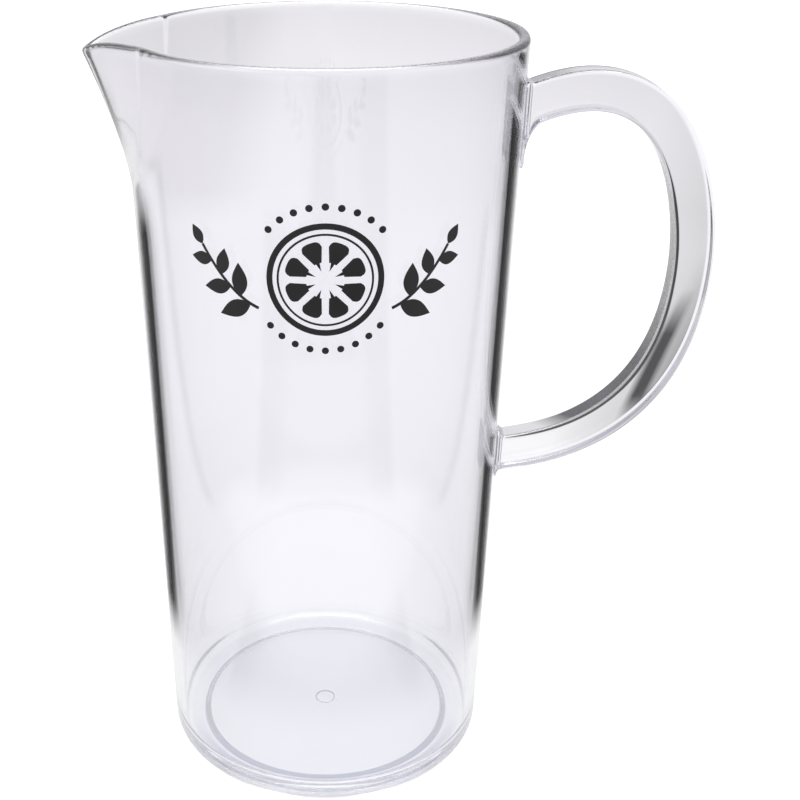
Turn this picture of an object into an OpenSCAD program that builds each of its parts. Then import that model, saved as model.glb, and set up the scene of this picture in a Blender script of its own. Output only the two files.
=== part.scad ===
// Clear moulded pitcher: a tapered cup with a spout drawn out of its wall, and a separate D-shaped
// grip whose flared feet are shaped to the wall and cemented to it.
// Millimetres, Z up. The cup's axis is Z, the spout points to -X, the grip to +X, the table is Z = 0.

/* [Cup] */
// Height of the rim above the table
body_h = 240; // [180:1:300]
// Outer diameter at the rim
rim_d = 118; // [90:0.5:150]
// Outer diameter of the wall, carried down to the table
base_d = 107.7; // [80:0.1:140]
// Wall thickness
wall = 3.2; // [2:0.1:5]
// Half width of the flat that tops the rounded rim
rim_land = 0.3; // [0.1:0.05:0.6]
// Floor thickness above the recess
floor_t = 3.8; // [2:0.1:8]
// Radius inside, between floor and wall
floor_corner = 4; // [1:0.1:10]
// Radius outside, between wall and foot ring
foot_corner = 4; // [1:0.1:8]
// Diameter of the recess in the underside
recess_d = 87; // [50:0.5:95]
// Depth of the recess in the underside
recess_h = 1.2; // [0.4:0.1:3]
// How far the edge of that recess slopes inwards
recess_slope = 1.4; // [0.2:0.1:4]
// Diameter of the gate mark under the floor
gate_d = 7; // [2:0.1:12]
// Height of the gate mark
gate_h = 0.7; // [0.2:0.05:1]

/* [Spout] */
// Height of the spout, from its heel to the rim
spout_h = 44.2; // [25:0.1:80]
// How far the lip stands out beyond the rim
spout_reach = 12.6; // [6:0.1:25]
// Share of the reach that comes late, so the keel curls outwards
spout_curl = 0.28; // [0:0.01:0.8]
// Half angle of the wall that the spout takes up
spout_angle = 31; // [18:1:45]
// Roundness of the nose, as an angle
spout_nose = 3; // [1:0.1:8]
// Share of the reach that starts at once, which leaves a crease between spout and wall
spout_crease = 0.26; // [0:0.01:0.4]
// Share of the reach in the hollow flanks, the rest being the beak
spout_flank = 0.5; // [0.2:0.01:0.6]
// Length over which the keel eases out of the wall
spout_heel = 4; // [1:0.1:12]
// How far the lip dips below the rim at its nose
lip_drop = 4.6; // [0:0.1:10]

/* [Grip] */
// Thickness of the grip, measured away from the cup
grip_t = 12.2; // [8:0.1:20]
// Width of the grip across the hand
grip_w = 8.6; // [6:0.1:24]
// Corner radius of the grip's section
grip_corner = 1.2; // [0.6:0.1:5]
// Furthest point of the grip's centre line, out from the rim
grip_reach = 54.9; // [40:0.1:75]
// Height of that furthest point, down from the rim
grip_drop = 70.1; // [50:0.1:90]
// Height of the upper root, down from the rim
upper_drop = 21.9; // [15:0.1:40]
// Slope of the grip where it leaves the upper root
upper_slope = 24.2; // [0:0.1:40]
// How strongly that slope holds
upper_pull = 50.7; // [20:0.1:70]
// How strongly the grip stays upright above its furthest point
over_pull = 20.8; // [10:0.1:40]
// How strongly the grip stays upright below its furthest point
under_pull = 32.2; // [10:0.1:45]
// Height of the lower root, down from the rim
lower_drop = 136.2; // [110:0.1:165]
// Slope of the grip where it meets the lower root
lower_slope = 5.5; // [0:0.1:30]
// How strongly that slope holds
lower_pull = 43.5; // [20:0.1:60]

/* [Feet] */
// Thickness of a foot at its edge
foot_edge = 0.5; // [0.3:0.05:1.5]
// Flare at the sides of each foot
foot_flare = 2; // [1:0.1:4]
// Flare at the outer end of each foot, over the upper arm and under the lower one
foot_end = 1.4; // [0.5:0.1:4]
// Drop of the gusset under the upper arm
gusset_h = 11; // [3:0.1:18]
// Run of that gusset along the arm
gusset_run = 5.2; // [2:0.1:12]
// Height of the smaller gusset on top of the lower arm
shelf_h = 3; // [1:0.1:8]
// Run of that smaller gusset along the arm
shelf_run = 2.6; // [1:0.1:8]
// Thickness of the cement between foot and wall
bond_t = 0.25; // [0.1:0.05:0.5]
// Distance from a foot's edge to the edge of its cement
bond_inset = 0.8; // [0.2:0.1:2]

/* [Hidden] */
$fn = 96;
rim_r = rim_d / 2;
base_r = base_d / 2;
rim_round = wall / 2;
rim_mid = cup_r(body_h - rim_round) - rim_round;
floor_z = recess_h + floor_t;
clear_tint = [0.88, 0.89, 0.93, 0.35];
cement_tint = [0.93, 0.93, 0.9, 0.5];
// steps of the rounded edges, and of the spout round the cup and up the wall
edge_n = 6;
section_n = 5;
spout_cols = 34;
spout_rows = 14;
// how far the spout's patches reach past it, and how deep they lie in the wall there
patch_angle = spout_angle + 3;
patch_sink = 0.1;
patch_dip = 0.7;
heel_dip = 0.5;
patch_z = body_h - spout_h - 2.5 * spout_heel;
// the grip's roots, its furthest point, and how far its ends run on into the wall before they are cut
upper_z = body_h - upper_drop;
lower_z = body_h - lower_drop;
grip_far = [rim_r + grip_reach, body_h - grip_drop];
root_run = 7.2;
root_step = 0.6;

// Cup: outer radius of the wall at height z, and points of a rounded corner in the profile.
function cup_r(z) = base_r + (rim_r - base_r) * z / body_h;
function corner(c, rx, rz, from, to) =
    [for (i = [0 : edge_n]) let (a = from + (to - from) * i / edge_n)
        [c[0] + rx * cos(a), c[1] + rz * sin(a)]];
// Rounded rim: half of it, on the outer side (+1) or the inner side (-1) of the middle line.
function rim_edge(mid, top, side) = corner([mid + side * rim_land, top - rim_round],
    side * (rim_round - rim_land), rim_round, 0, 90);

// Spout: share of the reach at angle a from the nose, reach at height z, and height of the lip.
function spout_near(a) =
    max(0, 1 - (sqrt(a * a + spout_nose * spout_nose) - spout_nose) / spout_angle);
function spout_share(a) = let (v = spout_near(a))
    spout_crease * v + spout_flank * pow(v, 2) + (1 - spout_crease - spout_flank) * pow(v, 6);
function spout_climb(z) = let (d = z - body_h + spout_h)
    (d + sqrt(d * d + spout_heel * spout_heel)) / 2 / (spout_h - lip_drop);
function spout_out(z) = let (u = spout_climb(z)) spout_reach * ((1 - spout_curl) * u + spout_curl * u * u);
function lip_z(a) = body_h - lip_drop * pow(spout_share(a), 1.5);
// A patch lies a little inside the wall round its border, so that its surface crosses the cone cleanly.
function sink(a, z) = patch_sink + patch_dip * pow(a / patch_angle, 2)
    + heel_dip * pow(max(0, body_h - spout_h + 8 - z) / 20, 2);
function spout_r(a, z) = cup_r(z) + spout_out(z) * spout_share(a) - sink(a, z);
function row_z(a, j) = patch_z + (lip_z(a) - rim_round - patch_z) * j / spout_rows;
function wheel(a, p) = [-p[0] * cos(a), p[0] * sin(a), p[1]];

// Profile of the spout's outside at angle a, closed well inside the cup.
function outer_column(a) = let (
    top = lip_z(a) - 0.4 * sink(a, body_h),
    mid = spout_r(a, lip_z(a)) - rim_round)
    concat(
        [[rim_r / 2, patch_z]],
        [for (j = [0 : spout_rows - 1]) let (z = row_z(a, j)) [spout_r(a, z), z]],
        rim_edge(mid, top, 1),
        [[rim_r / 2, top]]);
// Profile of the spout's channel at angle a, open above the lip.
function inner_column(a) = let (
    top = lip_z(a),
    mid = spout_r(a, top) - rim_round)
    concat(
        [[rim_r / 3, patch_z]],
        [for (j = [0 : spout_rows - 1]) let (z = row_z(a, j)) [spout_r(a, z) - wall, z]],
        rim_edge(mid, top, -1),
        [[mid - rim_land, body_h + 12], [rim_r / 3, body_h + 12]]);

// Skin over rings of points, closed at both ends by a fan about each end's middle.
function middle(ring) = [for (k = [0 : 2]) let (v = [for (p = ring) p[k]]) (max(v) + min(v)) / 2];
module skin(rings) {
    n = len(rings[0]);
    m = len(rings);
    points = concat([for (r = rings) each r], [middle(rings[0]), middle(rings[m - 1])]);
    sides = [for (i = [0 : m - 2], k = [0 : n - 1]) let (q = (k + 1) % n)
        each [[i * n + k, (i + 1) * n + k, (i + 1) * n + q], [i * n + k, (i + 1) * n + q, i * n + q]]];
    first = [for (k = [0 : n - 1]) [m * n, k, (k + 1) % n]];
    last = [for (k = [0 : n - 1]) [m * n + 1, (m - 1) * n + (k + 1) % n, (m - 1) * n + k]];
    polyhedron(points, concat(sides, first, last), convexity = 6);
}

// Grip: centre line as two curves that meet at the furthest point, each with its slope in the XZ plane.
function dir(a) = [cos(a), sin(a)];
upper_root = [cup_r(upper_z), upper_z];
lower_root = [cup_r(lower_z), lower_z];
upper_hold = upper_root + upper_pull * dir(upper_slope);
upper_curve = [upper_root, upper_hold, grip_far + [0, over_pull], grip_far];
lower_hold = lower_root + lower_pull * dir(lower_slope);
lower_curve = [grip_far, grip_far - [0, under_pull], lower_hold, lower_root];
function curve_at(c, t) = pow(1 - t, 3) * c[0] + 3 * pow(1 - t, 2) * t * c[1]
    + 3 * (1 - t) * t * t * c[2] + pow(t, 3) * c[3];
function slope_at(c, t) = let (v = pow(1 - t, 2) * (c[1] - c[0]) + 2 * (1 - t) * t * (c[2] - c[1])
    + t * t * (c[3] - c[2])) atan2(v[1], v[0]);
// Stations along the grip: straight runs inside the wall, close steps at the feet, longer steps between.
near_t = [0 : 0.004 : 0.0601];
far_t = [0.09 : 0.035 : 0.9999];
stations = concat(
    [for (s = [-root_run : root_step : -root_step / 2]) [upper_root + s * dir(upper_slope), upper_slope]],
    [for (t = near_t) [curve_at(upper_curve, t), slope_at(upper_curve, t)]],
    [for (t = far_t) [curve_at(upper_curve, t), slope_at(upper_curve, t)]],
    [for (t = far_t) let (u = t - 0.09) [curve_at(lower_curve, u), slope_at(lower_curve, u)]],
    [for (t = near_t) let (u = 1 - (0.06 - t)) [curve_at(lower_curve, u), slope_at(lower_curve, u)]],
    [for (s = [root_step : root_step : root_run])
        [lower_root - s * dir(lower_slope), lower_slope + 180]]);
// Section of the grip, [away from the cup, across], with rounded corners.
function section_at(j, i) = let (
    a = 90 * j + 90 * i / section_n,
    out = j == 0 || j == 3 ? grip_t / 2 - grip_corner : grip_corner - grip_t / 2,
    across = j < 2 ? grip_w / 2 - grip_corner : grip_corner - grip_w / 2)
    [out + grip_corner * cos(a), across + grip_corner * sin(a)];
section = [for (j = [0 : 3]) let (
    from = section_at(j, section_n),
    to = section_at((j + 1) % 4, 0))
    each concat(
        [for (i = [0 : section_n]) section_at(j, i)],
        [from + (to - from) / 3, to - (to - from) / 3])];
// A foot swells as it nears the wall, along a quarter of an ellipse of this run and height.
function swell(gap, run, high) = gap >= foot_edge + run ? 0 : gap <= foot_edge ? high
    : high * (1 - sqrt(1 - pow(1 - (gap - foot_edge) / run, 2)));
function grip_point(st, p) = let (
    q = [st[0][0] - p[0] * sin(st[1]), p[1], st[0][1] + p[0] * cos(st[1])],
    gap = norm([q[0], q[1]]) - bond_t - cup_r(q[2]),
    upper = q[2] > grip_far[1],
    end = p[0] > 0 ? swell(gap, foot_end, foot_end)
        : upper ? swell(gap, gusset_run, gusset_h) : swell(gap, shelf_run, shelf_h),
    side = swell(gap, foot_flare, foot_flare))
    q + [0, side * p[1] * 2 / grip_w, (upper ? 1 : -1) * end * p[0] * 2 / grip_t];

// Outer cone of the cup between two heights, made thicker by extra.
module wall_cone(low, high, extra) {
    translate([0, 0, low]) cylinder(r1 = cup_r(low) + extra, r2 = cup_r(high) + extra, h = high - low);
}

// Cement under one foot: the film between wall and foot, over a rounded footprint.
module film(low, high) {
    half = grip_w / 2 + foot_flare - bond_inset;
    round = grip_corner;
    spots = [[half - round, high - round, 0], [round - half, high - round, 90],
        [round - half, low + round, 180], [half - round, low + round, 270]];
    outline = [for (s = spots, i = [0 : edge_n])
        [s[0] + round * cos(s[2] + 90 * i / edge_n), s[1] + round * sin(s[2] + 90 * i / edge_n)]];
    intersection() {
        difference() {
            wall_cone(low - 5, high + 5, bond_t);
            wall_cone(low - 6, high + 6, 0);
        }
        rotate([90, 0, 90]) linear_extrude(rim_r + 5) polygon(outline);
    }
}

module body() {
    foot_mid = cup_r(foot_corner) - foot_corner;
    floor_mid = cup_r(floor_z + floor_corner) - wall - floor_corner;
    outside = concat(
        [[0, recess_h], [recess_d / 2 - recess_slope, recess_h], [recess_d / 2, 0]],
        corner([foot_mid, foot_corner], foot_corner, foot_corner, -90, 0),
        rim_edge(rim_mid, body_h, 1),
        [[0, body_h]]);
    inside = concat(
        [[0, floor_z]],
        corner([floor_mid, floor_z + floor_corner], floor_corner, floor_corner, -90, 0),
        rim_edge(rim_mid, body_h, -1),
        [[rim_mid - rim_land, body_h + 10], [0, body_h + 10]]);
    angles = [for (i = [0 : spout_cols]) patch_angle * (2 * i / spout_cols - 1)];
    color(clear_tint) union() {
        difference() {
            union() {
                rotate_extrude() polygon(outside);
                skin([for (a = angles) [for (p = outer_column(a)) wheel(a, p)]]);
            }
            rotate_extrude() polygon(inside);
            skin([for (a = angles) [for (p = inner_column(a)) wheel(a, p)]]);
        }
        translate([0, 0, recess_h - gate_h]) cylinder(d1 = gate_d - 0.6, d2 = gate_d, h = gate_h + 0.5);
    }
}

module handle() {
    color(clear_tint) difference() {
        skin([for (st = stations) [for (p = section) grip_point(st, p)]]);
        wall_cone(lower_z - 40, body_h, bond_t);
    }
}

module upper_bond() {
    color(cement_tint) film(upper_z - grip_t / 2 - gusset_h + 2 * bond_inset,
        upper_z + grip_t / 2 + foot_end - bond_inset);
}

module lower_bond() {
    color(cement_tint) film(lower_z - grip_t / 2 - foot_end + bond_inset,
        lower_z + grip_t / 2 + shelf_h - bond_inset);
}

body();
handle();
upper_bond();
lower_bond();
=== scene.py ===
# %% [markdown]
# # A clear plastic pitcher
# The real object is two clear mouldings, a cup with a spout and a D-shaped handle, joined by
# two thin films of cement. Clear plastic shows its own surfaces only where they bend light, so the
# lesson is mostly about clean, smooth, closed meshes: every surface here is worked out by a
# formula, in millimetres, and turned into metres at the end.

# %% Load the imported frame
import math

import bmesh
import bpy
import numpy as np
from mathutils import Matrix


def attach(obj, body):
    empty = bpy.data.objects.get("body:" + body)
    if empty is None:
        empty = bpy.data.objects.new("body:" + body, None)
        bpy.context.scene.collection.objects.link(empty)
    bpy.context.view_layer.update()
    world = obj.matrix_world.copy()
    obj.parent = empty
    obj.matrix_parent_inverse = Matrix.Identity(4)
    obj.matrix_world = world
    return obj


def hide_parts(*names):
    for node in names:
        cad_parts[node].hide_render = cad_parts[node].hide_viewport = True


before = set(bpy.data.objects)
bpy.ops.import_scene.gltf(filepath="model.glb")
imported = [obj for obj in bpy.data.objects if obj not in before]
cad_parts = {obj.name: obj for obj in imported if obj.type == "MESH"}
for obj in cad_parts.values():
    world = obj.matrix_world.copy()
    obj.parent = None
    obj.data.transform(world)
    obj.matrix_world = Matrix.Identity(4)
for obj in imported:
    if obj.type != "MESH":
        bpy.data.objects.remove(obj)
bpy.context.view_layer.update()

MM = 0.001

# %% [markdown]
# ## Camera
# The photograph was taken from a little above, close to the cup, so its rim is seen as a wide
# ellipse. A camera could be aimed at the middle of the object and pushed about by eye. Here its
# place, tilt and lens were fitted to the outline once, and are simply written down. The small
# sideways shift keeps the cup's walls upright while the handle stays in the frame. Light runs a long
# way inside a clear wall, so many more bounces are allowed than usual.

# %% Camera
CAMERA_PLACE, CAMERA_TILT = (0.0, -0.3891, 0.3036), 64.95
LENS, SENSOR, SIDE_SHIFT = 59.0, 36.0, 0.0933
BOUNCES = 128

scene = bpy.context.scene
scene.view_settings.view_transform = "Standard"
scene.cycles.max_bounces = BOUNCES
scene.cycles.glossy_bounces = BOUNCES
scene.cycles.transmission_bounces = BOUNCES

lens = bpy.data.cameras.new("front_camera")
lens.lens, lens.sensor_width, lens.shift_x = LENS, SENSOR, SIDE_SHIFT
camera = bpy.data.objects.new("front_camera", lens)
camera.location = CAMERA_PLACE
camera.rotation_euler = (math.radians(CAMERA_TILT), 0.0, 0.0)
scene.collection.objects.link(camera)
scene.camera = camera
print("camera", tuple(round(v, 4) for v in camera.location), "lens", lens.lens)


# %% [markdown]
# ## Helpers for meshes and nodes
# Each piece below is a grid of points rolled into a closed skin. One helper turns points and faces
# into an object with smooth shading and its faces turned outwards. Two more add a node
# with its settings, and join two sockets, which keeps the material cells short.

# %% Helpers
def make_mesh(name, points, faces, sharp=45):
    """An object from points in millimetres, smooth except at edges sharper than `sharp` degrees."""
    mesh = bpy.data.meshes.new(name)
    mesh.from_pydata((np.asarray(points) * MM).tolist(), [], faces)
    work = bmesh.new()
    work.from_mesh(mesh)
    bmesh.ops.remove_doubles(work, verts=work.verts, dist=1e-7)
    bmesh.ops.recalc_face_normals(work, faces=work.faces)
    work.to_mesh(mesh)
    work.free()
    mesh.polygons.foreach_set("use_smooth", [True] * len(mesh.polygons))
    mesh.set_sharp_from_angle(angle=math.radians(sharp))
    piece = bpy.data.objects.new(name, mesh)
    scene.collection.objects.link(piece)
    print(name, len(mesh.vertices), "points,", len(mesh.polygons), "faces")
    return piece


def grid_faces(rows, columns, closed=True, first=0):
    """Four-cornered faces between rows of points, wrapped round when `closed`."""
    last = columns if closed else columns - 1
    return [(first + i * columns + k, first + i * columns + (k + 1) % columns,
             first + (i + 1) * columns + (k + 1) % columns, first + (i + 1) * columns + k)
            for i in range(rows - 1) for k in range(last)]


def add_node(tree, kind, **values):
    """A node of this kind. Plain names are settings, and names that match sockets set them."""
    node = tree.nodes.new(kind)
    for name, value in values.items():
        if hasattr(node, name):
            setattr(node, name, value)
        else:
            node.inputs[name.replace("_", " ")].default_value = value
    return node


def join(tree, source, target):
    tree.links.new(source, target)


print("helpers make meshes in units of", MM, "m")

# %% [markdown]
# ## The cup's shape
# The wall is a plain cone. The spout is the same wall pushed outwards: its reach grows with height
# and fades away to both sides of the nose, so heel, flanks and beak come from one product of two
# curves. A sculpted spout would be quicker to rough out, but a formula stays smooth enough for
# clear plastic, in which every ripple shows.

# %% The cup's shape
BODY_H, RIM_R, BASE_R, WALL = 240.0, 59.0, 53.85, 3.2
SPOUT_H, SPOUT_REACH, SPOUT_CURL = 44.2, 12.6, 0.28
SPOUT_ANGLE, SPOUT_NOSE, SPOUT_CREASE, SPOUT_FLANK = 31.0, 3.0, 0.26, 0.5
SPOUT_HEEL, LIP_DROP, CREASE_OUTSIDE, CREASE_INSIDE = 4.0, 4.6, 0.05, 0.5
SINK_NOSE, SINK_SIDE, SINK_PAST, SINK_HEEL = 0.1, 0.7, 3.0, 0.5
HEEL_ABOVE, HEEL_LENGTH = 8.0, 20.0


def cup_radius(z):
    return BASE_R + (RIM_R - BASE_R) * z / BODY_H


def spout_share(angle):
    near = 1 - (np.sqrt(angle ** 2 + SPOUT_NOSE ** 2) - SPOUT_NOSE) / SPOUT_ANGLE
    near = np.maximum(near, 0)
    beak = 1 - SPOUT_CREASE - SPOUT_FLANK
    return SPOUT_CREASE * near + SPOUT_FLANK * near ** 2 + beak * near ** 6


def spout_out(z):
    rise = z - BODY_H + SPOUT_H
    climb = (rise + np.sqrt(rise ** 2 + SPOUT_HEEL ** 2)) / 2 / (SPOUT_H - LIP_DROP)
    return SPOUT_REACH * ((1 - SPOUT_CURL) * climb + SPOUT_CURL * climb ** 2)


def lip_height(angle):
    return BODY_H - LIP_DROP * spout_share(angle) ** 1.5


def wall_radius(angle, z, crease=CREASE_OUTSIDE):
    """The cone, or the spout where that stands out further, with a small radius in the crease."""
    heel = np.maximum(0, BODY_H - SPOUT_H + HEEL_ABOVE - z) / HEEL_LENGTH
    aside = angle / (SPOUT_ANGLE + SINK_PAST)
    sink = SINK_NOSE + SINK_SIDE * aside ** 2 + SINK_HEEL * heel ** 2
    stand = spout_out(z) * spout_share(angle) - sink
    return cup_radius(z) + (stand + np.sqrt(stand ** 2 + crease ** 2)) / 2


nose = np.array([0.0])
tip = wall_radius(nose, lip_height(nose))[0]
print("spout tip at x =", round(-tip, 2), "mm, lip at", round(lip_height(nose)[0], 2), "mm")

# %% [markdown]
# ## Body
# On the real cup one moulding carries the foot ring, the recess under the floor, the gate mark
# where the plastic was let in, the wall and the rounded rim. It could be a Screw modifier on one
# profile, but the spout breaks the symmetry. So the profile is written once and worked out again
# for every angle round the cup, with closer columns at the spout, and the rows are skinned.

# %% Body profile
FLOOR_Z, FLOOR_CORNER, FOOT_CORNER, RIM_LAND = 5.0, 4.0, 4.0, 0.3
SPOUT_ROWS_FROM = 172.0
UNDERSIDE = [(1.5, 0.5), (2.9, 0.5), (3.1, 0.53), (3.22, 0.64), (3.42, 1.06), (3.55, 1.17),
             (3.8, 1.2), (4.6, 1.2), (20, 1.2), (41.4, 1.2), (41.8, 1.19), (42.1, 1.13),
             (42.3, 1.02), (42.6, 0.77), (42.9, 0.51), (43.2, 0.26), (43.4, 0.13), (43.6, 0.05),
             (43.9, 0.0), (44.9, 0.0), (49.2, 0.0)]
FLOOR_RADII = (34, 20, 8, 1.5)
LOW_ROWS = np.array([4.8, 8, 40, 80, 120, 145, 160, SPOUT_ROWS_FROM])
HIGH_ROWS = np.linspace(0, 1, 33)[1:]
ARC = np.radians(np.linspace(0, 90, 9))


def body_rows(angle):
    """Radius and height of every row of the profile, from below, over the rim and down inside."""
    rows = [(r + 0 * angle, z + 0 * angle) for r, z in UNDERSIDE]
    foot = cup_radius(FOOT_CORNER) - FOOT_CORNER
    for t in ARC:
        rows.append((foot + FOOT_CORNER * np.sin(t) + 0 * angle,
                     FOOT_CORNER * (1 - np.cos(t)) + 0 * angle))
    lip = lip_height(angle)
    lean = (wall_radius(angle, lip) - wall_radius(angle, lip - 0.5)) / 0.5
    upright = 1 / np.sqrt(1 + lean ** 2)
    half = WALL / 2 * upright
    rim_z = lip - half * upright
    rim_r = wall_radius(angle, rim_z) - WALL / 2
    ends = (rim_z - half * lean * upright, rim_z + half * lean * upright)
    for z in LOW_ROWS:
        rows.append((wall_radius(angle, z + 0 * angle), z + 0 * angle))
    for t in HIGH_ROWS:
        z = SPOUT_ROWS_FROM + (ends[0] - SPOUT_ROWS_FROM) * t
        rows.append((wall_radius(angle, z), z))
    turn = np.concatenate([ARC[1:], np.pi - ARC[::-1][:-1]])
    for t in turn:
        across = np.sign(np.cos(t)) * RIM_LAND + (half - RIM_LAND) * np.cos(t)
        up = half * np.sin(t)
        rows.append((rim_r + (across + up * lean) * upright,
                     rim_z + (up - across * lean) * upright))
    for t in HIGH_ROWS[::-1]:
        z = SPOUT_ROWS_FROM + (ends[1] - SPOUT_ROWS_FROM) * t
        crease = CREASE_OUTSIDE + (CREASE_INSIDE - CREASE_OUTSIDE) * min(1, 6 * (1 - t))
        rows.append((wall_radius(angle, z, crease) - WALL, z))
    floor_top = FLOOR_Z + FLOOR_CORNER
    for z in LOW_ROWS[:1:-1]:
        rows.append((wall_radius(angle, z + 0 * angle, CREASE_INSIDE) - WALL, z + 0 * angle))
    rows.append((cup_radius(floor_top + 1) - WALL + 0 * angle, floor_top + 1 + 0 * angle))
    inside = cup_radius(floor_top) - WALL - FLOOR_CORNER
    for t in ARC[::-1]:
        rows.append((inside + FLOOR_CORNER * np.sin(t) + 0 * angle,
                     floor_top - FLOOR_CORNER * np.cos(t) + 0 * angle))
    for r in (inside - 0.8, *FLOOR_RADII):
        rows.append((r + 0 * angle, FLOOR_Z + 0 * angle))
    return rows


print("profile of", len(body_rows(nose)), "rows")

# %% Body mesh
FINE_TO = 34
RIM_FINISH, EDGE_FINISH = 1, 2
EDGE_ROWS = (range(2, 5), range(10, 18))
fine = np.linspace(-FINE_TO, FINE_TO, 137)
coarse = np.linspace(FINE_TO, 360 - FINE_TO, 293)[1:-1]
around = np.concatenate([fine, coarse])
around_from_nose = np.where(around > 180, around - 360, around)
rows = body_rows(around_from_nose)
turned = np.radians(around_from_nose)
points = [np.stack([-r * np.cos(turned), r * np.sin(turned), z], axis=1) for r, z in rows]
count = len(around)
faces = grid_faces(len(rows), count)
points = np.concatenate(points + [[[0, 0, 0.5]], [[0, 0, FLOOR_Z]]])
under, above = len(points) - 2, len(points) - 1
faces += [(under, (k + 1) % count, k) for k in range(count)]
top = (len(rows) - 1) * count
faces += [(above, top + k, top + (k + 1) % count) for k in range(count)]
body = make_mesh("pitcher_body", points, faces, sharp=60)
rim_from = len(UNDERSIDE) + len(ARC) + len(LOW_ROWS) + len(HIGH_ROWS) - 1
rim_faces = range(rim_from * count, (rim_from + 2 * len(ARC) - 2) * count)
edge_faces = [row * count + k for rows_of in EDGE_ROWS for row in rows_of for k in range(count)]
print("rim faces", len(rim_faces), "and mould edge faces", len(edge_faces), "of", len(faces))

# %% [markdown]
# ## Handle
# The handle is a solid bar, taller than it is wide, bent into a D, with feet that flare where they
# meet the cup. A curve with a bevel would give the bar but not the feet. Here the section is
# carried along two smooth curves, and each point swells as it nears the wall, down along a gusset
# under the upper arm. Every line of points stops exactly where it meets the wall, found by halving
# steps, so each foot gets a clean edge without any cutting.

# %% Handle shape
GRIP_T, GRIP_W, GRIP_CORNER, BOND_T = 12.2, 8.6, 1.2, 0.25
FOOT_EDGE, FOOT_FLARE, FOOT_END = 0.5, 2.0, 1.4
GUSSET_H, GUSSET_RUN, SHELF_H, SHELF_RUN = 11.0, 5.2, 3.0, 2.6
UPPER_Z, LOWER_Z, ROOT_RUN = BODY_H - 21.9, BODY_H - 136.2, 7.2
UPPER_SLOPE, LOWER_SLOPE = 24.2, 5.5
UPPER_PULL, UPPER_BEND, LOWER_BEND, LOWER_PULL = 50.7, 20.8, 32.2, 43.5
FAR = np.array([RIM_R + 54.9, BODY_H - 70.1])


def heading(degrees):
    return np.array([math.cos(math.radians(degrees)), math.sin(math.radians(degrees))])


upper_root = np.array([cup_radius(UPPER_Z), UPPER_Z])
lower_root = np.array([cup_radius(LOWER_Z), LOWER_Z])
upper_curve = [upper_root, upper_root + UPPER_PULL * heading(UPPER_SLOPE),
               FAR + [0, UPPER_BEND], FAR]
lower_curve = [FAR, FAR - [0, LOWER_BEND],
               lower_root + LOWER_PULL * heading(LOWER_SLOPE), lower_root]


def on_curve(curve, t):
    """Place and heading on one cubic curve, for an array of t from 0 to 1."""
    t = np.asarray(t)[..., None]
    a, b, c, d = curve
    place = (1 - t) ** 3 * a + 3 * (1 - t) ** 2 * t * b + 3 * (1 - t) * t ** 2 * c + t ** 3 * d
    run = (1 - t) ** 2 * (b - a) + 2 * (1 - t) * t * (c - b) + t ** 2 * (d - c)
    return place, run / np.linalg.norm(run, axis=-1, keepdims=True)


def grip_line(t):
    """The centre line: up to 0 inside the wall, to 1 the upper curve, to 2 the lower, then in."""
    up_place, up_run = on_curve(upper_curve, np.clip(t, 0, 1))
    low_place, low_run = on_curve(lower_curve, np.clip(t - 1, 0, 1))
    low = (t > 1)[..., None]
    place, run = np.where(low, low_place, up_place), np.where(low, low_run, up_run)
    past = (np.minimum(t, 0) + np.maximum(t - 2, 0))[..., None] * ROOT_RUN
    return place + past * run, run


def swell(gap, run, height):
    near = np.clip(1 - (gap - FOOT_EDGE) / run, 0, 1)
    return height * (1 - np.sqrt(1 - near ** 2))


def wall_gap(p):
    return np.hypot(p[..., 0], p[..., 1]) - BOND_T - cup_radius(p[..., 2])


def grip_skin(t, out, across):
    """Points of the handle's surface, with its feet, at t for section points (out, across)."""
    place, run = grip_line(t)
    p = np.stack([place[..., 0] - out * run[..., 1], across + 0 * t,
                  place[..., 1] + out * run[..., 0]], axis=-1)
    gap, upper = wall_gap(p), p[..., 2] > FAR[1]
    below = np.where(upper, swell(gap, GUSSET_RUN, GUSSET_H), swell(gap, SHELF_RUN, SHELF_H))
    end = np.where(out > 0, swell(gap, FOOT_END, FOOT_END), below)
    p[..., 1] += swell(gap, FOOT_FLARE, FOOT_FLARE) * across * 2 / GRIP_W
    p[..., 2] += np.where(upper, 1, -1) * end * out * 2 / GRIP_T
    return p


def meeting(out, across, inside, outside):
    """Where each line of points reaches the cement, by halving the step 40 times."""
    low, high = np.full(out.shape, inside), np.full(out.shape, outside)
    for _ in range(40):
        middle = (low + high) / 2
        sunk = wall_gap(grip_skin(middle, out, across)) < 0
        low, high = np.where(sunk, middle, low), np.where(sunk, high, middle)
    return high


print("handle feet at", UPPER_Z, "and", LOWER_Z, "mm, furthest out at", FAR[0], "mm")

# %% Handle mesh
CROWDING, UPPER_RINGS, LOWER_RINGS = 1.8, 141, 121


def grip_section():
    """The bar's outline: four rounded corners, and 16 points on each flat between them."""
    corner_x, corner_y = GRIP_T / 2 - GRIP_CORNER, GRIP_W / 2 - GRIP_CORNER
    spots = [(corner_x, corner_y), (-corner_x, corner_y),
             (-corner_x, -corner_y), (corner_x, -corner_y)]
    ring = []
    for j, (x, y) in enumerate(spots):
        arc = [np.array([x + GRIP_CORNER * math.cos(a), y + GRIP_CORNER * math.sin(a)])
               for a in np.radians(90 * j + np.linspace(0, 90, 11))]
        x2, y2 = spots[(j + 1) % 4]
        side = math.radians(90 * j + 90)
        flat_end = np.array([x2 + GRIP_CORNER * math.cos(side),
                             y2 + GRIP_CORNER * math.sin(side)])
        ring += arc + [arc[-1] + (flat_end - arc[-1]) * s for s in np.linspace(0.02, 0.98, 16)]
    return np.array(ring)


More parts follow.
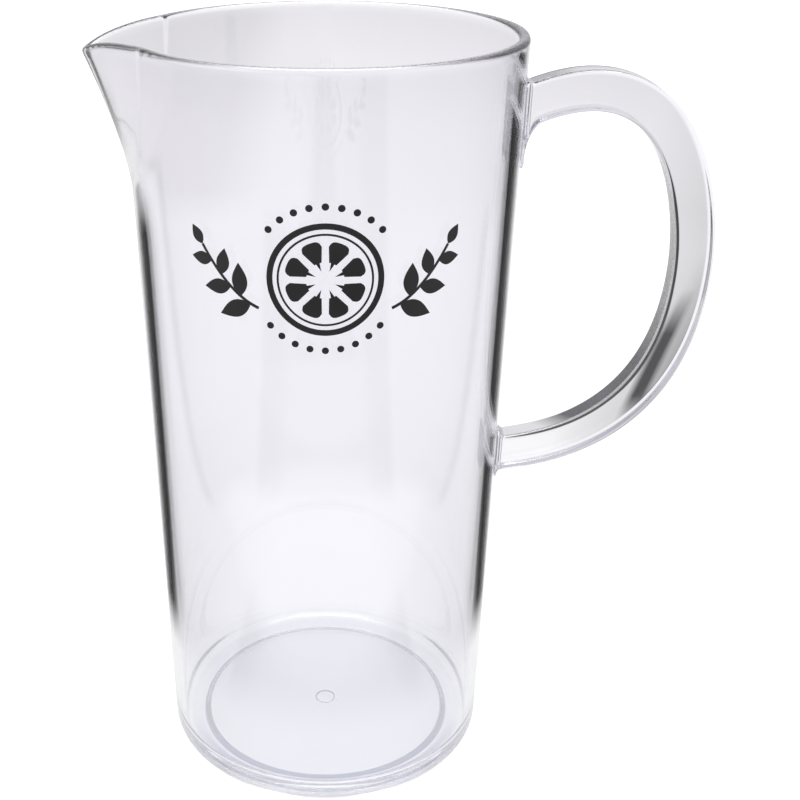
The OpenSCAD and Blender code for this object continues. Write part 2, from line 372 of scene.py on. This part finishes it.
section = grip_section()
out, across = section[:, 0], section[:, 1]
start, finish = meeting(out, across, -1.0, 0.4), meeting(out, across, 3.0, 1.6)
along = np.linspace(-1, 3, 8001)
steps = np.diff(grip_line(along)[0], axis=0)
length = np.concatenate([[0], np.cumsum(np.linalg.norm(steps, axis=1))])
first, middle, last = (np.interp(t, along, length) for t in (start, 1.0, finish))
upper_steps = np.linspace(0, 1, UPPER_RINGS) ** CROWDING
lower_steps = 1 - np.linspace(1, 0, LOWER_RINGS)[1:] ** CROWDING
places = [first + (middle - first) * w for w in upper_steps]
places += [middle + (last - middle) * w for w in lower_steps]
rings = [grip_skin(np.interp(s, length, along), out, across) for s in places]


def foot_cap(ring, extra):
    """Rings that close a foot, drawn in towards its middle along the cone of the wall."""
    middle = (ring[:, 1:].max(axis=0) + ring[:, 1:].min(axis=0)) / 2
    for share in (0.97, 0.7, 0.4, 0.1):
        yz = middle + (ring[:, 1:] - middle) * share
        x = np.sqrt((cup_radius(yz[:, 1]) + extra) ** 2 - yz[:, 0] ** 2)
        yield np.column_stack([x, yz])


rings = list(foot_cap(rings[0], BOND_T))[::-1] + rings + list(foot_cap(rings[-1], BOND_T))
sides = len(section)
points = np.concatenate(rings + [[rings[0].mean(axis=0)], [rings[-1].mean(axis=0)]])
faces = grid_faces(len(rings), sides)
faces += [(len(points) - 2, (k + 1) % sides, k) for k in range(sides)]
end = (len(rings) - 1) * sides
faces += [(len(points) - 1, end + k, end + (k + 1) % sides) for k in range(sides)]
handle = make_mesh("pitcher_handle", points, faces, sharp=50)

# %% [markdown]
# ## Cement
# Between each foot and the wall lies a film of clear cement a quarter of a millimetre thick. It
# could stay as the plain CAD sheet, but two clear surfaces in exactly the same place make
# a speckled mess when they are rendered. So each film is drawn again with its rounded outline, and
# stands two hundredths of a millimetre clear of both neighbours.

# %% Cement films
FILM_INSET, FILM_CORNER, CLEAR = 0.8, 1.2, 0.02
FILM_HALF = GRIP_W / 2 + FOOT_FLARE - FILM_INSET
FILM_SHARES = (0.05, 0.4, 0.75, 1)


def film(name, low, high):
    """A closed sheet on the wall between two heights, with rounded corners."""
    spots = [(FILM_HALF, high, 0), (-FILM_HALF, high, 90),
             (-FILM_HALF, low, 180), (FILM_HALF, low, 270)]
    outline = []
    for y, z, turn in spots:
        y = y - math.copysign(FILM_CORNER, y)
        z = z - (FILM_CORNER if z == high else -FILM_CORNER)
        outline += [(y + FILM_CORNER * math.cos(a), z + FILM_CORNER * math.sin(a))
                    for a in np.radians(turn + np.linspace(0, 90, 9))]
    outline = np.array(outline)
    middle = np.array([0.0, (low + high) / 2])
    layers = [(CLEAR, s) for s in FILM_SHARES]
    layers += [(BOND_T - CLEAR, s) for s in FILM_SHARES[::-1]]
    loops = []
    for lift, share in layers:
        yz = middle + (outline - middle) * share
        x = np.sqrt((cup_radius(yz[:, 1]) + lift) ** 2 - yz[:, 0] ** 2)
        loops.append(np.column_stack([x, yz]))
    n = len(outline)
    points = np.concatenate(loops)
    faces = grid_faces(len(loops), n)
    faces += [tuple(range(n))[::-1], tuple(range((len(loops) - 1) * n, len(loops) * n))]
    return make_mesh(name, points, faces)


upper_film = film("upper_cement", UPPER_Z - GRIP_T / 2 - GUSSET_H + 2 * FILM_INSET,
                  UPPER_Z + GRIP_T / 2 + FOOT_END - FILM_INSET)
lower_film = film("lower_cement", LOWER_Z - GRIP_T / 2 - FOOT_END + FILM_INSET,
                  LOWER_Z + GRIP_T / 2 + SHELF_H - FILM_INSET)

# %% [markdown]
# ## Print
# Bar pitchers carry a screen print in one opaque ink, about a twentieth of a millimetre thick. An
# image on the wall would do for an opaque cup, but a clear cup shows the ink's edge and its back
# too, so it is drawn as thin solids. A plain design stands here, with a fruit wheel, two sprigs and
# some dots. Each shape is laid out flat, in millimetres, and then rolled on to the cone.

# %% Print shapes
PRINT_Z, INK_LOW, INK_HIGH = 184.0, 0.05, 0.09
ink_points, ink_faces = [], []


def roll(flat, lift):
    """Flat points (across, up) laid on the front of the cone, `lift` millimetres off the wall."""
    flat = np.asarray(flat)
    z = PRINT_Z + flat[:, 1]
    r, turn = cup_radius(z) + lift, flat[:, 0] / cup_radius(PRINT_Z)
    return np.column_stack([r * np.sin(turn), -r * np.cos(turn), z])


def ink_stroke(path, width, closed):
    """A line of ink with a back, a front and two edges, closed off at its ends when it has any."""
    path = np.asarray(path, float)
    if closed:
        run = np.roll(path, -1, axis=0) - np.roll(path, 1, axis=0)
    else:
        run = np.gradient(path, axis=0)
    run = run / np.linalg.norm(run, axis=1)[:, None]
    side = np.column_stack([-run[:, 1], run[:, 0]]) * width / 2
    loop = np.stack([roll(path + side, INK_LOW), roll(path - side, INK_LOW),
                     roll(path - side, INK_HIGH), roll(path + side, INK_HIGH)], axis=1)
    first, n = sum(len(p) for p in ink_points), len(path)
    ink_points.append(loop.reshape(-1, 3))
    ink_faces.extend(grid_faces(n, 4, first=first))
    last = first + 4 * (n - 1)
    if closed:
        ink_faces.extend((last + k, last + (k + 1) % 4, first + (k + 1) % 4, first + k)
                         for k in range(4))
    else:
        ink_faces.extend(tuple(end + k for k in range(4)) for end in (first, last))


def ink_patch(outline):
    """A filled shape of ink. Its outline can be seen whole from its middle."""
    outline = np.asarray(outline, float)
    middle, n = outline.mean(axis=0), len(outline)
    first = sum(len(p) for p in ink_points)
    flat = [[middle], middle + (outline - middle) * 0.5, outline]
    ink_points.append(np.concatenate([roll(loop, INK_LOW) for loop in flat]
                                     + [roll(loop, INK_HIGH) for loop in flat[::-1]]))
    ink_faces.extend(grid_faces(4, n, first=first + 1))
    ink_faces.extend((first, first + 1 + k, first + 1 + (k + 1) % n) for k in range(n))
    end = first + 1 + 3 * n
    ink_faces.extend((end + n, end + (k + 1) % n, end + k) for k in range(n))


def around_spot(middle, radius, count):
    turn = np.linspace(0, 2 * np.pi, count, endpoint=False)
    return np.column_stack([middle[0] + radius * np.cos(turn), middle[1] + radius * np.sin(turn)])


print("ink from", INK_LOW, "to", INK_HIGH, "mm off the wall, round a height of", PRINT_Z, "mm")

# %% Print layout
WHEEL_R, WHEEL_LINE, PITH_R, PITH_LINE = 15.2, 1.7, 12.9, 0.6
SEGMENTS, SEGMENT_HALF, SEGMENT_R, SEGMENT_ROUND = 8, 17, 11.2, 1.6
WAIST_R, POINT_R = 5.2, 2.8
STEM_LINE, STEM_START, STEM_RUN, STEM_LOW, STEM_RISE, STEM_CURL = 0.9, 18.5, 17, -9, 6, 10
LEAVES_AT, LEAF_LEAN, LEAF_LENGTH, LEAF_HALF = (4, 9, 14, 19, 24, 29), 0.9, 10.5, 2.5
DOTS_R, DOT_R = 20.5, 1.0

ink_stroke(around_spot((0, 0), WHEEL_R, 120), WHEEL_LINE, True)
ink_stroke(around_spot((0, 0), PITH_R, 100), PITH_LINE, True)
for k in range(SEGMENTS):
    mid = 2 * math.pi * (k + 0.5) / SEGMENTS
    wide = np.radians(np.linspace(-SEGMENT_HALF, SEGMENT_HALF, 13))
    rounded = SEGMENT_R - SEGMENT_ROUND * np.abs(np.linspace(-1, 1, 13)) ** 5
    wedge = list(zip(rounded, wide))
    wedge += [(WAIST_R, 0.2), (WAIST_R, 0.1), (POINT_R, 0.0), (WAIST_R, -0.1), (WAIST_R, -0.2)]
    ink_patch([(r * math.cos(mid + a), r * math.sin(mid + a)) for r, a in wedge])
for hand in (-1, 1):
    s = np.linspace(0, 1, 30)
    stem = np.column_stack([STEM_START + STEM_RUN * s,
                            STEM_LOW + STEM_RISE * s + STEM_CURL * s ** 2])
    ink_stroke(stem * [hand, 1], STEM_LINE, False)
    for k, at in enumerate(LEAVES_AT):
        lean = math.atan2(STEM_RISE + 2 * STEM_CURL * s[at], STEM_RUN)
        if at != LEAVES_AT[-1]:
            lean += LEAF_LEAN if k % 2 else -LEAF_LEAN
        size, fat = LEAF_LENGTH - 0.9 * k, LEAF_HALF - 0.15 * k
        t = np.linspace(0, 1, 17)
        edge = fat * np.sin(np.pi * t ** 0.85)
        long = np.concatenate([t, t[-2:0:-1]]) * size
        wide = np.concatenate([edge, -edge[-2:0:-1]])
        leaf = np.column_stack([stem[at, 0] + long * math.cos(lean) - wide * math.sin(lean),
                                stem[at, 1] + long * math.sin(lean) + wide * math.cos(lean)])
        ink_patch(leaf * [hand, 1])
for turn in np.radians(np.concatenate([np.arange(42, 139, 12), np.arange(222, 319, 12)])):
    ink_patch(around_spot((DOTS_R * math.cos(turn), DOTS_R * math.sin(turn)), DOT_R, 20))
print_ink = make_mesh("front_print", np.concatenate(ink_points), ink_faces)

# %% [markdown]
# ## Clear plastic
# Moulded plastic is never quite perfect: it carries hair scratches that dull the gloss a little,
# and slow waves from the way it flowed into the mould. Both are used by several finishes, so they
# are one node group with its own inputs. The group puts out a roughness and a height, and the
# shaders stay in the materials.

# %% Moulded surface group
moulded = bpy.data.node_groups.new("moulded_surface", "ShaderNodeTree")
NUMBER = "NodeSocketFloat"
for name, value in (("Scratch scale", 60.0), ("Flow scale", 9.0), ("Gloss", 0.02), ("Wear", 0.05)):
    moulded.interface.new_socket(name, in_out="INPUT", socket_type=NUMBER).default_value = value
for name in ("Roughness", "Height"):
    moulded.interface.new_socket(name, in_out="OUTPUT", socket_type=NUMBER)
take = add_node(moulded, "NodeGroupInput")
give = add_node(moulded, "NodeGroupOutput")
place = add_node(moulded, "ShaderNodeTexCoord")
stretch = add_node(moulded, "ShaderNodeMapping", Scale=(1.0, 1.0, 0.12))
scratch = add_node(moulded, "ShaderNodeTexNoise", Detail=4.0, Roughness=0.65)
pick = add_node(moulded, "ShaderNodeMapRange", From_Min=0.52, From_Max=0.75)
worn = add_node(moulded, "ShaderNodeMath", operation="MULTIPLY_ADD")
flow = add_node(moulded, "ShaderNodeTexNoise", Detail=1.0, Roughness=0.4)
join(moulded, place.outputs["Object"], stretch.inputs["Vector"])
join(moulded, stretch.outputs["Vector"], scratch.inputs["Vector"])
join(moulded, take.outputs["Scratch scale"], scratch.inputs["Scale"])
join(moulded, scratch.outputs["Fac"], pick.inputs["Value"])
join(moulded, pick.outputs["Result"], worn.inputs[0])
join(moulded, take.outputs["Wear"], worn.inputs[1])
join(moulded, take.outputs["Gloss"], worn.inputs[2])
join(moulded, worn.outputs["Value"], give.inputs["Roughness"])
join(moulded, place.outputs["Object"], flow.inputs["Vector"])
join(moulded, take.outputs["Flow scale"], flow.inputs["Scale"])
join(moulded, flow.outputs["Fac"], give.inputs["Height"])
print("group", moulded.name, "with", len(moulded.nodes), "nodes")


# %% Clear materials
# The second tint is painted shade: it darkens the edges of the recess and the gate mark to stand for
# the dark lines that clear plastic shows there by bending light.
COOL, EDGE_PAINTED_SHADE, MILKY = (0.97, 0.967, 0.993), (0.36, 0.38, 0.46), (0.55, 0.56, 0.60)
SHADE = (0.93, 0.93, 0.94)
PLASTIC_INDEX, CEMENT_INDEX, BUMP_HEIGHT = 1.57, 1.5, 0.0005


def choose(tree, share, first, second):
    """A mix of two shaders, with the share of the second from a socket."""
    mix = add_node(tree, "ShaderNodeMixShader")
    for source, target in zip((share, first, second), mix.inputs):
        join(tree, source, target)
    return mix.outputs["Shader"]


def clear_material(name, tint, index, gloss, wear, wave):
    """Clear plastic with the moulded surface. Shadow rays pass straight through, a little dimmed."""
    material = bpy.data.materials.new(name)
    material.use_nodes = True
    tree = material.node_tree
    tree.nodes.clear()
    output = add_node(tree, "ShaderNodeOutputMaterial")
    skin = add_node(tree, "ShaderNodeBsdfPrincipled", IOR=index, Transmission_Weight=1.0)
    skin.inputs["Base Color"].default_value = (*tint, 1)
    surface = add_node(tree, "ShaderNodeGroup", node_tree=moulded)
    surface.inputs["Gloss"].default_value = gloss
    surface.inputs["Wear"].default_value = wear
    bump = add_node(tree, "ShaderNodeBump", Strength=wave, Distance=BUMP_HEIGHT)
    join(tree, surface.outputs["Roughness"], skin.inputs["Roughness"])
    join(tree, surface.outputs["Height"], bump.inputs["Height"])
    join(tree, bump.outputs["Normal"], skin.inputs["Normal"])
    through = add_node(tree, "ShaderNodeBsdfTransparent", Color=(*SHADE, 1))
    ray = add_node(tree, "ShaderNodeLightPath")
    either = choose(tree, ray.outputs["Is Shadow Ray"], skin.outputs["BSDF"], through.outputs["BSDF"])
    join(tree, either, output.inputs["Surface"])
    print("material", name, "IOR", index)
    return material


body_plastic = clear_material("clear_plastic_cup", COOL, PLASTIC_INDEX, 0.01, 0.008, 0.02)
grip_plastic = clear_material("clear_plastic_grip", COOL, PLASTIC_INDEX, 0.01, 0.03, 0.02)
cement = clear_material("clear_cement", MILKY, CEMENT_INDEX, 0.12, 0.1, 0.1)
rim_plastic = clear_material("clear_plastic_rim", COOL, PLASTIC_INDEX, 0.22, 0.1, 0.02)
# The mould edges are a little rougher, and their dark tint is painted shade.
edge_plastic_painted_shade = clear_material("clear_plastic_mould_edge_painted_shade", EDGE_PAINTED_SHADE, PLASTIC_INDEX, 0.1, 0.1, 0.02)

# %% [markdown]
# ## Finishes on the pieces
# The cup takes three finishes in one mesh: the polished wall, a rim that is handled and washed until
# it is a little dull, and the edges of the recess and the gate mark, which a mould leaves less
# polished. These edges also carry a dark smoky tint, a painted shade for the dark lines that clear
# plastic shows there by bending light. The finishes could be separate pieces, but seams in clear
# plastic show, so the faces are simply told apart by their material index. The print is a flat,
# slightly uneven black.

# %% Finishes on the pieces
for material in (body_plastic, rim_plastic, edge_plastic_painted_shade):
    body.data.materials.append(material)
for finish, chosen in ((RIM_FINISH, rim_faces), (EDGE_FINISH, edge_faces)):
    for k in chosen:
        body.data.polygons[k].material_index = finish
handle.data.materials.append(grip_plastic)
for piece in (upper_film, lower_film):
    piece.data.materials.append(cement)
print("finishes on the cup:", [material.name for material in body.data.materials])

# %% Ink
INK_GLOSS, INK_WEAR, INK_FLOW = 0.45, 0.15, 60.0
INK_SHADES = ((0.0, (0.010, 0.009, 0.010)), (1.0, (0.022, 0.020, 0.021)))


def colour_ramp(tree, source, stops):
    """A colour by a value, from (place, colour) stops in order. A ramp starts with two stops."""
    node = add_node(tree, "ShaderNodeValToRGB")
    elements = node.color_ramp.elements
    for element, (place, colour) in zip(elements, (stops[0], stops[-1])):
        element.position, element.color = place, (*colour, 1)
    for place, colour in stops[1:-1]:
        elements.new(place).color = (*colour, 1)
    join(tree, source, node.inputs["Fac"])
    return node.outputs["Color"]


ink = bpy.data.materials.new("black_ink")
ink.use_nodes = True
tree = ink.node_tree
skin = tree.nodes["Principled BSDF"]
surface = add_node(tree, "ShaderNodeGroup", node_tree=moulded)
surface.inputs["Gloss"].default_value = INK_GLOSS
surface.inputs["Wear"].default_value = INK_WEAR
surface.inputs["Flow scale"].default_value = INK_FLOW
join(tree, colour_ramp(tree, surface.outputs["Height"], INK_SHADES), skin.inputs["Base Color"])
join(tree, surface.outputs["Roughness"], skin.inputs["Roughness"])
print_ink.data.materials.append(ink)
print("material", ink.name)

# %% [markdown]
# ## Stage
# A clear object is mostly a picture of its surroundings, so the stage matters as much as the
# plastic. Clear ware is usually photographed in bright field: a white sheet under and behind it,
# black cards a little to each side that draw its edges, soft light from both sides, and a dark room
# where the camera stands. Cards could be real objects, but they would get into the picture. So the
# floor and the world simply have those tones by direction round the cup, for the rays that the
# plastic bends or mirrors. The camera itself sees white, and the floor keeps the soft shadow.

# %% Tones round the cup
WHITE, BLACK_CARD, SIDE_LIGHT, DARK_ROOM = 1.0, 0.04, 0.55, 0.3
RING = ((0.0, WHITE), (0.095, WHITE), (0.13, 0.75), (0.155, BLACK_CARD), (0.27, BLACK_CARD),
        (0.32, SIDE_LIGHT), (0.82, SIDE_LIGHT), (0.84, BLACK_CARD), (0.90, BLACK_CARD),
        (0.93, DARK_ROOM), (1.0, DARK_ROOM))


def calculate(tree, operation, *sources):
    """A math node on sockets or plain numbers."""
    node = add_node(tree, "ShaderNodeMath", operation=operation)
    for source, target in zip(sources, node.inputs):
        if isinstance(source, float):
            target.default_value = source
        else:
            join(tree, source, target)
    return node.outputs["Value"]


def studio_ring(tree, across, along, inset):
    """A tone by direction, and the direction: straight behind the cup is 0, the camera's side 1."""
    aside = calculate(tree, "ABSOLUTE", across)
    outside = calculate(tree, "MAXIMUM", calculate(tree, "SUBTRACT", aside, inset), 0.0)
    share = calculate(tree, "DIVIDE", calculate(tree, "ARCTAN2", outside, along), math.pi)
    return colour_ramp(tree, share, [(place, (tone,) * 3) for place, tone in RING]), share


print("ring of", len(RING), "tones")


# %% Mixing tones
def mix_colours(tree, first, second, share=1.0, blend="MIX"):
    """A colour mix of two sockets. `share` is a number or a socket."""
    mix = add_node(tree, "ShaderNodeMix", data_type="RGBA", blend_type=blend)
    if isinstance(share, float):
        mix.inputs[0].default_value = share
    else:
        join(tree, share, mix.inputs[0])
    join(tree, first, mix.inputs[6])
    join(tree, second, mix.inputs[7])
    return mix.outputs[2]


def ramp_of(tree, source, low, high, start=0.0, end=1.0):
    """A straight ramp of a value, held at both ends."""
    node = add_node(tree, "ShaderNodeMapRange", From_Min=low, From_Max=high, To_Min=start, To_Max=end)
    join(tree, source, node.inputs["Value"])
    return node.outputs["Result"]


def product(tree, *sources):
    result = sources[0]
    for source in sources[1:]:
        result = calculate(tree, "MULTIPLY", result, source)
    return result


def plain_colour(tree, *colour):
    """A fixed colour, or a grey when only one number is given."""
    node = add_node(tree, "ShaderNodeRGB")
    colour = colour * 3 if len(colour) == 1 else colour
    node.outputs[0].default_value = (*colour, 1)
    return node.outputs[0]


print("tones are mixed from ramps of place and direction")

# %% [markdown]
# ## Floor
# The floor is one plain pale sheet. What the plastic shows of it is built up in layers: first the
# ring of tones, white close to the cup, then paler and darker lanes further off. A small black card
# painted behind the handle paints the dark streak in its lower bend, and a pale sheet painted in
# front paints light that ends the dark strip on its lower arm. Painted shade darkens what the plastic
# shows of the floor close under the cup and under the foot ring. Rays that have crossed the whole cup
# see narrower cards, or the cards would show through it as dark blocks from other sides.

# %% Floor sheet
FLOOR_SIZE, FLOOR_DROP = 6.0, 0.0002
half = FLOOR_SIZE / 2
corners = [(a * half, b * half, -FLOOR_DROP) for a, b in ((-1, -1), (1, -1), (1, 1), (-1, 1))]
floor_mesh = bpy.data.meshes.new("floor")
floor_mesh.from_pydata(corners, [], [(0, 1, 2, 3)])
floor = bpy.data.objects.new("floor", floor_mesh)
scene.collection.objects.link(floor)
print("floor", FLOOR_SIZE, "m wide")

# %% Places on the floor
paper = bpy.data.materials.new("pale_floor")
paper.use_nodes = True
floor_mesh.materials.append(paper)
tree = paper.node_tree
tree.nodes.clear()
ray = add_node(tree, "ShaderNodeLightPath")
where = add_node(tree, "ShaderNodeTexCoord").outputs["Object"]
spot = add_node(tree, "ShaderNodeSeparateXYZ")
reach = add_node(tree, "ShaderNodeVectorMath", operation="LENGTH")
slant = add_node(tree, "ShaderNodeVectorMath", operation="DOT_PRODUCT")
slant.inputs[1].default_value = (1.0, -0.4245, 0.0)
for target in (spot.inputs["Vector"], reach.inputs[0], slant.inputs[0]):
    join(tree, where, target)
x, y = spot.outputs["X"], spot.outputs["Y"]
distance, handle_lane = reach.outputs["Value"], slant.outputs["Value"]
aside = calculate(tree, "ABSOLUTE", x)
print("places by distance, direction and the lane behind the handle")

# %% Layers of tone
FALL, RING_INSET = (1.0, 0.0), 0.05
NEAR_CUP, CLOSE, FAR_OFF, HORIZON = (0.085, 0.11), (0.12, 0.25), (0.58, 0.68), (1.3, 1.7)
SPOUT_SIDE, LANE, FAR_LANE = (-0.06, -0.12), (0.02, 0.07, 1.04, 0.93), (0.0, 0.35, 0.98, 0.91)
WHOLE_CUP, CARDS_FROM, CARDS_TO = (3.2, 3.8), (0.185, 0.21), (0.92, 0.94)

ring, share = studio_ring(tree, x, y, RING_INSET)
through_cup = product(tree, ramp_of(tree, ray.outputs["Transmission Depth"], *WHOLE_CUP),
                      ramp_of(tree, share, *CARDS_FROM), ramp_of(tree, share, *CARDS_TO, *FALL))
ring = mix_colours(tree, ring, plain_colour(tree, SIDE_LIGHT), through_cup)
far, pale = ramp_of(tree, distance, *FAR_OFF), plain_colour(tree, 0.9)
near, close = ramp_of(tree, distance, *NEAR_CUP, *FALL), ramp_of(tree, distance, *CLOSE, *FALL)
tone = mix_colours(tree, ring, plain_colour(tree, WHITE), near)
tone = mix_colours(tree, tone, pale, product(tree, far, ramp_of(tree, x, *SPOUT_SIDE)))
tone = mix_colours(tree, tone, pale, ramp_of(tree, distance, *HORIZON), "LIGHTEN")
tone = mix_colours(tree, tone, ramp_of(tree, aside, *LANE), close, "MULTIPLY")
tone = mix_colours(tree, tone, ramp_of(tree, aside, *FAR_LANE), far, "MULTIPLY")
print("tones by direction, with", len(tree.nodes), "nodes so far")

# %% Small cards and a painted foot shadow
HANDLE_LEFT, HANDLE_RIGHT = (0.0505, 0.0550), (0.0595, 0.0635)
HANDLE_NEAR, HANDLE_FAR = (0.235, 0.27), (0.36, 0.44)
FRONT_REACH, FRONT_FROM = (0.232, 0.255), (-0.1, -0.13)
FOOT_FROM, FOOT_INSIDE, FOOT_OUTSIDE = (-0.01, -0.035), (0.044, 0.0455), (0.0495, 0.0515)

# Painted dark patch behind the handle, seen only through the plastic: it paints the dark streak in
# the handle's lower bend.
painted_handle_streak = product(tree, ramp_of(tree, handle_lane, *HANDLE_LEFT),
                      ramp_of(tree, handle_lane, *HANDLE_RIGHT, *FALL),
                      ramp_of(tree, y, *HANDLE_NEAR), ramp_of(tree, y, *HANDLE_FAR, *FALL))
# Painted pale patch in front, seen only through the plastic: it paints light that ends the dark strip
# on the handle's lower arm.
painted_front_light = product(tree, ramp_of(tree, distance, *FRONT_REACH, *FALL),
                      ramp_of(tree, y, *FRONT_FROM))
# Painted contact shadow: the floor under the front of the foot ring is darkened for rays through the
# plastic.
painted_foot_shadow = product(tree, ramp_of(tree, y, *FOOT_FROM), ramp_of(tree, distance, *FOOT_INSIDE),
                     ramp_of(tree, distance, *FOOT_OUTSIDE, *FALL))
tone = mix_colours(tree, tone, plain_colour(tree, 0.1, 0.1, 0.105), painted_handle_streak)
tone = mix_colours(tree, tone, plain_colour(tree, 0.8), painted_front_light)
# The last mix lays the painted shadow under the foot. It is no card.
tone = mix_colours(tree, tone, plain_colour(tree, 0.62, 0.61, 0.70), painted_foot_shadow, "MULTIPLY")
print("three small cards: behind the handle, in front, and under the foot")

# %% Floor material
# The ramp below is painted shade for rays through the plastic: the floor is darker close under the
# cup, with two darker rings under the recess edge and the foot ring, then lighter further out and
# dimmer again far away.
PAINTED_SHADE_SCALE = 0.5
PAINTED_FLOOR_SHADE = ((0.0205, (0.60, 0.62, 0.615)), (0.0212, (0.46, 0.47, 0.51)), (0.0219, (0.60, 0.62, 0.62)),
        (0.0240, (0.60, 0.61, 0.62)), (0.0250, (0.50, 0.50, 0.54)), (0.0258, (0.66, 0.67, 0.67)),
        (0.035, (0.675, 0.68, 0.675)), (0.08, (0.685, 0.685, 0.68)), (0.225, (0.73, 0.725, 0.725)),
        (0.45, (0.75, 0.74, 0.745)), (0.70, (0.70, 0.69, 0.70)), (1.0, (0.66, 0.65, 0.66)))
PAPER, PAPER_SEEN, PAPER_BENT = (0.8, 0.8, 0.81, 1), (0.3, 0.3, 0.3, 1), 0.22
GLOW_TO_CAMERA = (0.25, 0.9, 0.74, 1.0)


def both(tree, first, second):
    """The sum of two shaders."""
    node = add_node(tree, "ShaderNodeAddShader")
    join(tree, first, node.inputs[0])
    join(tree, second, node.inputs[1])
    return node.outputs["Shader"]


painted_floor_shade = colour_ramp(tree, calculate(tree, "MULTIPLY", distance, PAINTED_SHADE_SCALE), PAINTED_FLOOR_SHADE)
glow = add_node(tree, "ShaderNodeEmission", Strength=1.0)
dim = add_node(tree, "ShaderNodeBsdfDiffuse")
join(tree, mix_colours(tree, painted_floor_shade, tone, blend="MULTIPLY"), glow.inputs["Color"])
grey = plain_colour(tree, PAPER_BENT)
join(tree, mix_colours(tree, grey, tone, blend="MULTIPLY"), dim.inputs["Color"])
bent = both(tree, glow.outputs["Emission"], dim.outputs["BSDF"])

soft = add_node(tree, "ShaderNodeBsdfDiffuse", Color=PAPER_SEEN)
lift = add_node(tree, "ShaderNodeEmission", Color=(1, 1, 1, 1))
join(tree, ramp_of(tree, distance, *GLOW_TO_CAMERA), lift.inputs["Strength"])
seen = both(tree, soft.outputs["BSDF"], lift.outputs["Emission"])

plain = add_node(tree, "ShaderNodeBsdfDiffuse", Color=PAPER)
by_plastic = calculate(tree, "MAXIMUM", ray.outputs["Is Glossy Ray"],
                       ray.outputs["Is Transmission Ray"])
sight = choose(tree, by_plastic, plain.outputs["BSDF"], bent)
output = add_node(tree, "ShaderNodeOutputMaterial")
join(tree, choose(tree, ray.outputs["Is Camera Ray"], sight, seen), output.inputs["Surface"])
print("material", paper.name, "with", len(tree.nodes), "nodes")

# %% [markdown]
# ## World and lamp
# Around the stage hangs the same ring of tones, much paler, and brighter towards the horizon and
# straight overhead. A single picture of a studio would do as well, but a few ramps stay easy to
# tune. One wide lamp above gives the soft shadow. It is hidden from rays inside the plastic, where
# it would burn out the foot of the cup.

# %% World
RISE = ((0.0, (0.8, 0.8, 0.82)),
        *((height, (grey, grey * 0.985, grey * 1.05))
          for height, grey in ((0.25, 0.8), (0.45, 0.62), (0.7, 0.62), (0.85, 0.85))),
        (1.0, (0.85, 0.85, 0.86)))
OVERHEAD, PALER = (0.55, 0.8), 0.7

world = bpy.data.worlds.new("studio")
scene.world = world
world.use_nodes = True
tree = world.node_tree
tree.nodes.clear()
output = add_node(tree, "ShaderNodeOutputWorld")
ray = add_node(tree, "ShaderNodeLightPath")
sky = add_node(tree, "ShaderNodeTexCoord")
split = add_node(tree, "ShaderNodeSeparateXYZ")
room = add_node(tree, "ShaderNodeBackground", Strength=1.0)
white = add_node(tree, "ShaderNodeBackground", Color=(1, 1, 1, 1), Strength=1.0)
join(tree, sky.outputs["Generated"], split.inputs["Vector"])
rise = colour_ramp(tree, split.outputs["Z"], RISE)
ring, _ = studio_ring(tree, split.outputs["X"], split.outputs["Y"], 0.0)
above = plain_colour(tree, WHITE)
tone = mix_colours(tree, ring, above, ramp_of(tree, split.outputs["Z"], *OVERHEAD))
tone = mix_colours(tree, tone, above, PALER)
join(tree, mix_colours(tree, rise, tone, blend="MULTIPLY"), room.inputs["Color"])
backdrop = choose(tree, ray.outputs["Is Camera Ray"], room.outputs["Background"],
                  white.outputs["Background"])
join(tree, backdrop, output.inputs["Surface"])
print("world", world.name, "with", len(tree.nodes), "nodes")

# %% Lamp
LAMP_PLACE, LAMP_AIM = np.array([0.0, 0.15, 1.3]), np.array([0.0, 0.0, 0.1])
LAMP_WIDTH, LAMP_DEPTH, LAMP_POWER = 1.2, 1.0, 16.0

light = bpy.data.lights.new("overhead", "AREA")
light.shape, light.energy = "RECTANGLE", LAMP_POWER
light.size, light.size_y = LAMP_WIDTH, LAMP_DEPTH
lamp = bpy.data.objects.new("overhead", light)
lamp.location = LAMP_PLACE
way = LAMP_AIM - LAMP_PLACE
tilt = math.atan2(math.hypot(way[0], way[1]), -way[2])
lamp.rotation_euler = (tilt, 0.0, math.atan2(way[1], way[0]) - math.pi / 2)
lamp.visible_transmission = False
scene.collection.objects.link(lamp)
print("lamp", lamp.name, LAMP_POWER, "W")

# %% [markdown]
# ## Joining the frame
# Every piece says which CAD body it moves with and which CAD node it stands for. This pitcher
# has one body, so everything rides on `root`.

# %% Ride, replace
for piece, node, slot in ((body, "body", "clear_plastic"), (handle, "handle", "clear_plastic"),
                          (upper_film, "upper_bond", "cement"), (lower_film, "lower_bond", "cement")):
    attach(piece, "root")
    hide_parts(node)

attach(print_ink, "root")
